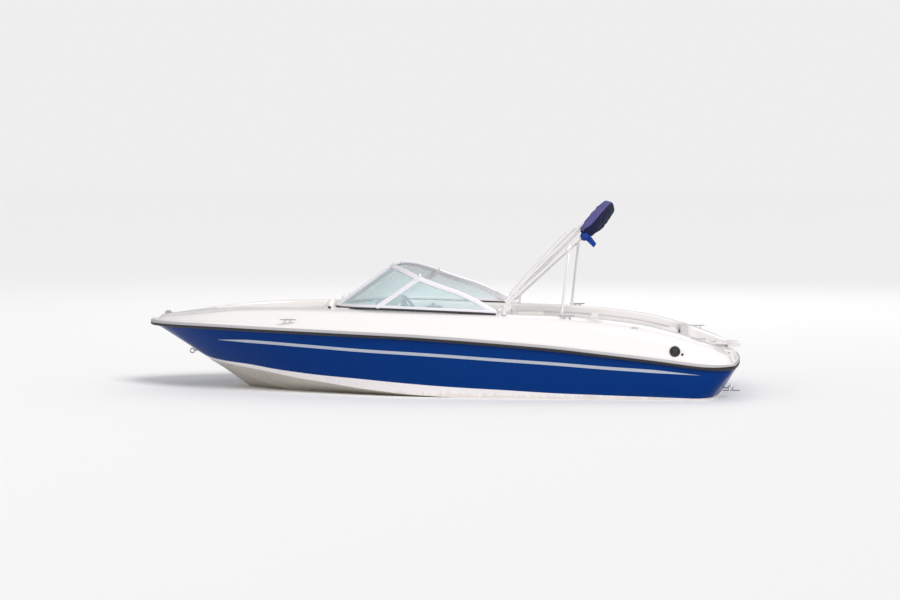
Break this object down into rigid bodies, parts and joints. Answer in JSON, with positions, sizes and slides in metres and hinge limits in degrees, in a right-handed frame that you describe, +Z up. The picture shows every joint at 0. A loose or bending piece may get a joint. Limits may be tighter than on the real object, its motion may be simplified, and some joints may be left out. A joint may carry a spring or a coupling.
{
  "type": "bowrider speedboat",
  "caption": "Open bowrider speedboat, white deck over a blue hull, wrap-round windshield, folded blue sun top and sterndrive",
  "frame": {"origin": "at the waterline, midway along the moulded length, on the centreline", "axes": "+X towards the bow, +Y towards the port side, +Z up from the water"},
  "size_m": [5.83, 2.146, 2.5217],
  "materials": {
    "gelcoat_white": "satin gelcoat",
    "gelcoat_blue": "polished gelcoat",
    "rubber_black": "matte",
    "plastic_black": "moulded",
    "plastic_grey": "moulded",
    "frame_aluminium": "anodised",
    "chrome": "polished",
    "tinted_glass": "clear, lightly tinted",
    "seat_vinyl": "soft",
    "boot_fabric": "woven",
    "drive_paint": "gloss",
    "engine_paint": "satin",
    "stainless": "polished"
  },
  "bodies": {
    "boat": {"aft_bench_back": "seat_vinyl", "aft_bench_base": "gelcoat_white", "aft_bench_cushion": "seat_vinyl", "bimini_deck_fittings": "chrome", "bow_backrests": "seat_vinyl", "bow_cleats": "chrome", "bow_cushion_front": "seat_vinyl", "bow_cushion_port": "seat_vinyl", "bow_cushion_starboard": "seat_vinyl", "bow_eye": "chrome", "bow_light": "plastic_black", "cockpit_liner": "gelcoat_white", "console_port": "gelcoat_white", "console_starboard": "gelcoat_white", "deck": "gelcoat_white", "engine": "engine_paint", "engine_box": "gelcoat_white", "front_glass_port": "tinted_glass", "front_glass_starboard": "tinted_glass", "fuel_cap": "plastic_black", "fuel_vent": "chrome", "gimbal_housing": "drive_paint", "hatch_hinges": "stainless", "helm_seat": "seat_vinyl", "helm_seat_pedestal": "frame_aluminium", "horn": "plastic_black", "hull": "gelcoat_blue", "ladder_brackets": "chrome", "mid_cleats": "plastic_grey", "passenger_seat": "seat_vinyl", "passenger_seat_pedestal": "frame_aluminium", "rub_rail": "rubber_black", "side_glass_port": "tinted_glass", "side_glass_starboard": "tinted_glass", "steering_column": "plastic_black", "stern_cleats": "chrome", "stern_eyes": "chrome", "throttle": "plastic_black", "windshield_frame_port": "frame_aluminium", "windshield_frame_starboard": "frame_aluminium"},
    "windshield_door_body": {"windshield_door": "frame_aluminium", "door_glass": "tinted_glass"},
    "engine_hatch_body": {"engine_hatch": "gelcoat_white", "sun_pad": "seat_vinyl"},
    "steering_wheel_body": {"steering_wheel": "plastic_black"},
    "swim_ladder_body": {"swim_ladder": "chrome"},
    "bimini_body": {"bimini_frame": "frame_aluminium", "bimini_boot": "boot_fabric"},
    "bimini_strut_port_body": {"bimini_strut_port": "frame_aluminium"},
    "bimini_strut_starboard_body": {"bimini_strut_starboard": "frame_aluminium"},
    "gimbal_ring_body": {"gimbal_ring": "drive_paint"},
    "drive_leg_body": {"drive_leg": "drive_paint"},
    "propeller_body": {"propeller": "stainless"},
    "trim_barrel_port_body": {"trim_barrel_port": "drive_paint"},
    "trim_barrel_starboard_body": {"trim_barrel_starboard": "drive_paint"},
    "trim_rod_port_body": {"trim_rod_port": "stainless"},
    "trim_rod_starboard_body": {"trim_rod_starboard": "stainless"}
  },
  "joints": [
    {"name": "windshield_door_hinge", "type": "hinge", "parent": "boat", "child": "windshield_door_body", "pos_m": [0.66983, -0.28, 0.95062], "axis": [0.8122, 0, -0.5833], "range_deg": [0, 110]},
    {"name": "engine_hatch_hinge", "type": "hinge", "parent": "boat", "child": "engine_hatch_body", "pos_m": [-1.4175, 0, 0.53], "axis": [0, 1, 0], "range_deg": [0, 70]},
    {"name": "steering_wheel_turn", "type": "hinge", "parent": "boat", "child": "steering_wheel_body", "pos_m": [0.302, -0.45, 0.664], "axis": [-0.811, 0, 0.585], "range_deg": [-540, 540]},
    {"name": "swim_ladder_hinge", "type": "hinge", "parent": "boat", "child": "swim_ladder_body", "pos_m": [-2.682, 0, 0.395], "axis": [0, -1, 0], "range_deg": [0, 255]},
    {"name": "bimini_raise", "type": "hinge", "parent": "boat", "child": "bimini_body", "pos_m": [-0.648, 0, 0.795], "axis": [0, 1, 0], "range_deg": [0, 45]},
    {"name": "bimini_strut_port_fold", "type": "hinge", "parent": "bimini_body", "child": "bimini_strut_port_body", "pos_m": [-1.2, 0.803, 1.262], "axis": [0, -1, 0], "range_deg": [0, 30]},
    {"name": "bimini_strut_starboard_fold", "type": "hinge", "parent": "bimini_body", "child": "bimini_strut_starboard_body", "pos_m": [-1.2, -0.803, 1.262], "axis": [0, -1, 0], "range_deg": [0, 30]},
    {"name": "drive_steer", "type": "hinge", "parent": "boat", "child": "gimbal_ring_body", "pos_m": [-2.66, 0, -0.15], "axis": [0, 0, 1], "range_deg": [-28, 28]},
    {"name": "drive_tilt", "type": "hinge", "parent": "gimbal_ring_body", "child": "drive_leg_body", "pos_m": [-2.66, 0, -0.15], "axis": [0, 1, 0], "range_deg": [-4, 45]},
    {"name": "propeller_spin", "type": "hinge", "parent": "drive_leg_body", "child": "propeller_body", "pos_m": [-3.095, 0, -0.64], "axis": [1, 0, 0], "continuous": true},
    {"name": "trim_barrel_port_swing", "type": "hinge", "parent": "gimbal_ring_body", "child": "trim_barrel_port_body", "pos_m": [-2.675, 0.176, -0.301], "axis": [0, 1, 0], "range_deg": [-3.2, 36]},
    {"name": "trim_rod_port_slide", "type": "slide", "parent": "trim_barrel_port_body", "child": "trim_rod_port_body", "axis": [-0.9312, -0.1768, 0.3188], "range_m": [-0.00935, 0.10524]},
    {"name": "trim_barrel_starboard_swing", "type": "hinge", "parent": "gimbal_ring_body", "child": "trim_barrel_starboard_body", "pos_m": [-2.675, -0.176, -0.301], "axis": [0, 1, 0], "range_deg": [-3.2, 36]},
    {"name": "trim_rod_starboard_slide", "type": "slide", "parent": "trim_barrel_starboard_body", "child": "trim_rod_starboard_body", "axis": [-0.9312, 0.1768, 0.3188], "range_m": [-0.00935, 0.10524]}
  ],
  "couplings": [
    {"joint": "steering_wheel_turn", "follows": "drive_steer", "ratio": 19.286},
    {"joint": "trim_barrel_port_swing", "follows": "drive_tilt", "ratio": 0.8},
    {"joint": "trim_rod_port_slide", "follows": "drive_tilt", "m_per_rad": 0.134},
    {"joint": "trim_barrel_starboard_swing", "follows": "drive_tilt", "ratio": 0.8},
    {"joint": "trim_rod_starboard_slide", "follows": "drive_tilt", "m_per_rad": 0.134}
  ]
}
